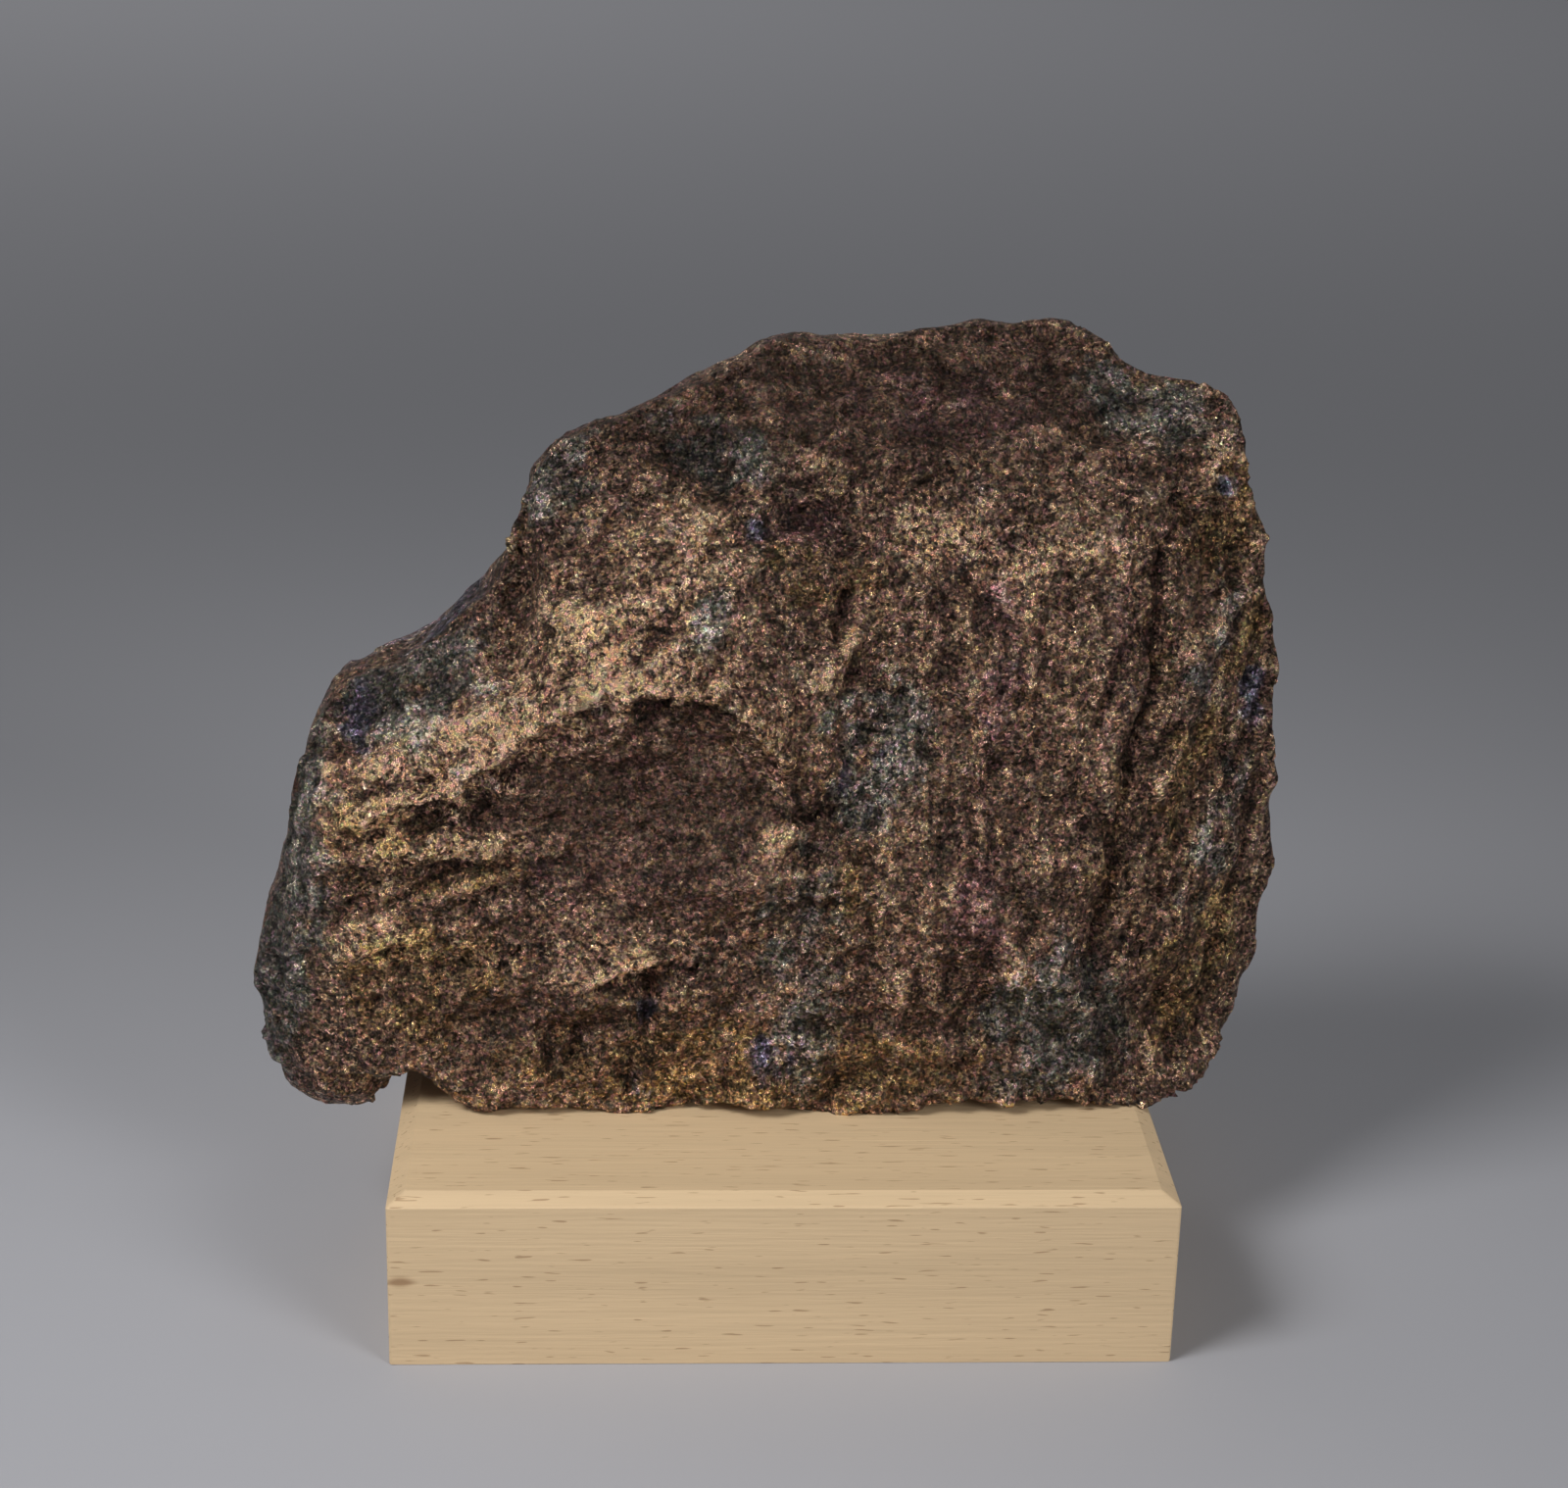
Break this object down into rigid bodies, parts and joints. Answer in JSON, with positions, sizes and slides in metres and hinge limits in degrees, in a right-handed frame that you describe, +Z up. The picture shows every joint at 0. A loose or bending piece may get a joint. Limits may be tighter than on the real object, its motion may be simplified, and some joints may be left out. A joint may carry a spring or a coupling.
{
  "type": "renierite specimen on a display block",
  "caption": "Hand-sized broken lump of tarnished bronze-brown renierite ore, resting on a pale wooden display block with bevelled top edges.",
  "frame": {"origin": "centre of the wooden block's underside", "axes": "+Z up, +X to the right of the specimen's face, +Y from its face to its back"},
  "size_m": [0.1095, 0.064, 0.0991],
  "materials": {
    "tarnished_ore": "granular metallic sparkle, bronze-brown with grey-blue, purple and olive tarnish",
    "pale_wood": "planed and sanded, unvarnished"
  },
  "bodies": {
    "root": {"renierite_specimen": "tarnished_ore", "wooden_block": "pale_wood"}
  },
  "joints": []
}
